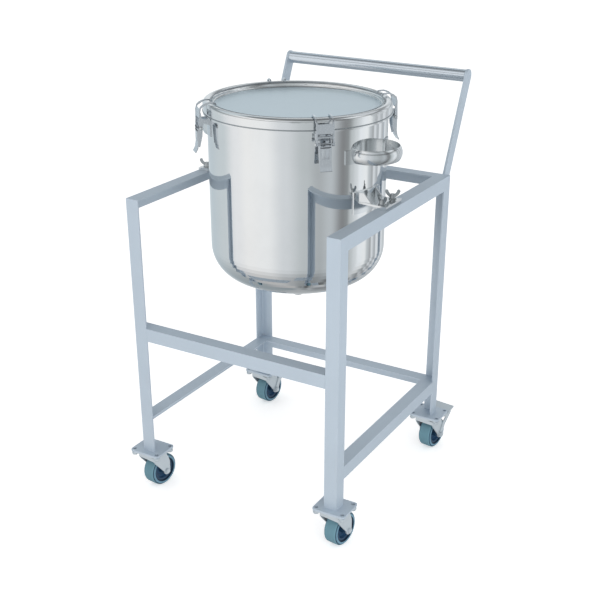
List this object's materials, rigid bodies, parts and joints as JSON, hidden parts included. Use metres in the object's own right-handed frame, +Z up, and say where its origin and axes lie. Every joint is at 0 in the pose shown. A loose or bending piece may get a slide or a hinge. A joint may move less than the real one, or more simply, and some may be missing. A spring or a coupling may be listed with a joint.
{
  "type": "wheeled tank",
  "caption": "Sealed stainless steel clamp-lid tank with side handles, hung by brackets in an angle-section stand on casters with a leaning push handle.",
  "frame": {"origin": "on the floor, under the middle of the overall width and depth; the tank's axis is at x 0, y -0.042", "axes": "+X to the right seen from the open front, +Y to the push handle, +Z up"},
  "size_m": [0.552, 0.652, 0.901],
  "materials": {
    "stand_steel": "satin, bead blasted",
    "tank_mirror": "mirror polished",
    "lid_satin": "satin disc, polished ring",
    "strap_bright": "bright",
    "latch_bright": "bright",
    "pad_white": "bright, polished",
    "caster_zinc": "bright zinc plated",
    "hub_navy": "satin",
    "tyre_blue": "matt",
    "gasket_white": "matt"
  },
  "bodies": {
    "stand": {"legs": "stand_steel", "side_rails": "stand_steel", "rear_rail": "stand_steel", "front_bar": "stand_steel", "lower_side_rails": "stand_steel", "lower_rear_rail": "stand_steel", "uprights": "stand_steel", "push_tube": "stand_steel", "base_plates": "stand_steel", "caster_plates": "caster_zinc", "tank_wall": "tank_mirror", "tank_bottom": "tank_mirror", "drain_neck": "tank_mirror", "drain_cap": "tank_mirror", "lid": "lid_satin", "gasket": "gasket_white", "tank_handle_l": "strap_bright", "tank_handle_r": "strap_bright", "brackets": "strap_bright", "seat_pads": "pad_white", "wing_bolts": "strap_bright", "latch_bases": "latch_bright"},
    "caster_fl": {"fork_fl": "caster_zinc"},
    "wheel_fl": {"hub_fl": "hub_navy", "tyre_fl": "tyre_blue"},
    "caster_fr": {"fork_fr": "caster_zinc"},
    "wheel_fr": {"hub_fr": "hub_navy", "tyre_fr": "tyre_blue"},
    "caster_rl": {"fork_rl": "caster_zinc"},
    "wheel_rl": {"hub_rl": "hub_navy", "tyre_rl": "tyre_blue"},
    "brake_rl": {"pedal_rl": "caster_zinc"},
    "caster_rr": {"fork_rr": "caster_zinc"},
    "wheel_rr": {"hub_rr": "hub_navy", "tyre_rr": "tyre_blue"},
    "brake_rr": {"pedal_rr": "caster_zinc"},
    "lever_fr": {"lever_fr": "latch_bright"},
    "claw_fr": {"claw_fr": "latch_bright"},
    "lever_fl": {"lever_fl": "latch_bright"},
    "claw_fl": {"claw_fl": "latch_bright"},
    "lever_rr": {"lever_rr": "latch_bright"},
    "claw_rr": {"claw_rr": "latch_bright"},
    "lever_rl": {"lever_rl": "latch_bright"},
    "claw_rl": {"claw_rl": "latch_bright"}
  },
  "joints": [
    {"name": "swivel_fl", "type": "hinge", "parent": "stand", "child": "caster_fl", "pos_m": [-0.238, -0.294, 0.086], "axis": [0, 0, 1], "continuous": true},
    {"name": "roll_fl", "type": "hinge", "parent": "caster_fl", "child": "wheel_fl", "pos_m": [-0.23536, -0.27519, 0.0375], "axis": [0.9903, -0.1392, 0], "continuous": true},
    {"name": "swivel_fr", "type": "hinge", "parent": "stand", "child": "caster_fr", "pos_m": [0.238, -0.294, 0.086], "axis": [0, 0, 1], "continuous": true},
    {"name": "roll_fr", "type": "hinge", "parent": "caster_fr", "child": "wheel_fr", "pos_m": [0.24032, -0.27514, 0.0375], "axis": [0.9925, -0.1219, 0], "continuous": true},
    {"name": "swivel_rl", "type": "hinge", "parent": "stand", "child": "caster_rl", "pos_m": [-0.238, 0.182, 0.086], "axis": [0, 0, 1], "continuous": true},
    {"name": "roll_rl", "type": "hinge", "parent": "caster_rl", "child": "wheel_rl", "pos_m": [-0.23568, 0.20086, 0.0375], "axis": [0.9925, -0.1219, 0], "continuous": true},
    {"name": "brake_rl", "type": "hinge", "parent": "caster_rl", "child": "brake_rl", "pos_m": [-0.23568, 0.20086, 0.0375], "axis": [0.9925, -0.1219, 0], "range_deg": [-10, 0]},
    {"name": "swivel_rr", "type": "hinge", "parent": "stand", "child": "caster_rr", "pos_m": [0.238, 0.182, 0.086], "axis": [0, 0, 1], "continuous": true},
    {"name": "roll_rr", "type": "hinge", "parent": "caster_rr", "child": "wheel_rr", "pos_m": [0.24032, 0.20086, 0.0375], "axis": [0.9925, -0.1219, 0], "continuous": true},
    {"name": "brake_rr", "type": "hinge", "parent": "caster_rr", "child": "brake_rr", "pos_m": [0.24032, 0.20086, 0.0375], "axis": [0.9925, -0.1219, 0], "range_deg": [-10, 0]},
    {"name": "lever_fr", "type": "hinge", "parent": "stand", "child": "lever_fr", "pos_m": [0.14566, -0.18766, 0.84], "axis": [-0.7071, -0.7071, 0], "range_deg": [0, 75]},
    {"name": "claw_fr", "type": "hinge", "parent": "lever_fr", "child": "claw_fr", "pos_m": [0.14778, -0.18979, 0.828], "axis": [-0.7071, -0.7071, 0], "range_deg": [-127.5, 0]},
    {"name": "lever_fl", "type": "hinge", "parent": "stand", "child": "lever_fl", "pos_m": [-0.13784, -0.19509, 0.84], "axis": [-0.7431, 0.6691, 0], "range_deg": [0, 75]},
    {"name": "claw_fl", "type": "hinge", "parent": "lever_fl", "child": "claw_fl", "pos_m": [-0.13985, -0.19732, 0.828], "axis": [-0.7431, 0.6691, 0], "range_deg": [-127.5, 0]},
    {"name": "lever_rr", "type": "hinge", "parent": "stand", "child": "lever_rr", "pos_m": [0.14566, 0.10366, 0.84], "axis": [0.7071, -0.7071, 0], "range_deg": [0, 75]},
    {"name": "claw_rr", "type": "hinge", "parent": "lever_rr", "child": "claw_rr", "pos_m": [0.14778, 0.10579, 0.828], "axis": [0.7071, -0.7071, 0], "range_deg": [-127.5, 0]},
    {"name": "lever_rl", "type": "hinge", "parent": "stand", "child": "lever_rl", "pos_m": [-0.14566, 0.10366, 0.84], "axis": [0.7071, 0.7071, 0], "range_deg": [0, 75]},
    {"name": "claw_rl", "type": "hinge", "parent": "lever_rl", "child": "claw_rl", "pos_m": [-0.14778, 0.10579, 0.828], "axis": [0.7071, 0.7071, 0], "range_deg": [-127.5, 0]}
  ],
  "couplings": [
    {"joint": "claw_fr", "follows": "lever_fr", "ratio": -1.7},
    {"joint": "claw_fl", "follows": "lever_fl", "ratio": -1.7},
    {"joint": "claw_rr", "follows": "lever_rr", "ratio": -1.7},
    {"joint": "claw_rl", "follows": "lever_rl", "ratio": -1.7}
  ]
}
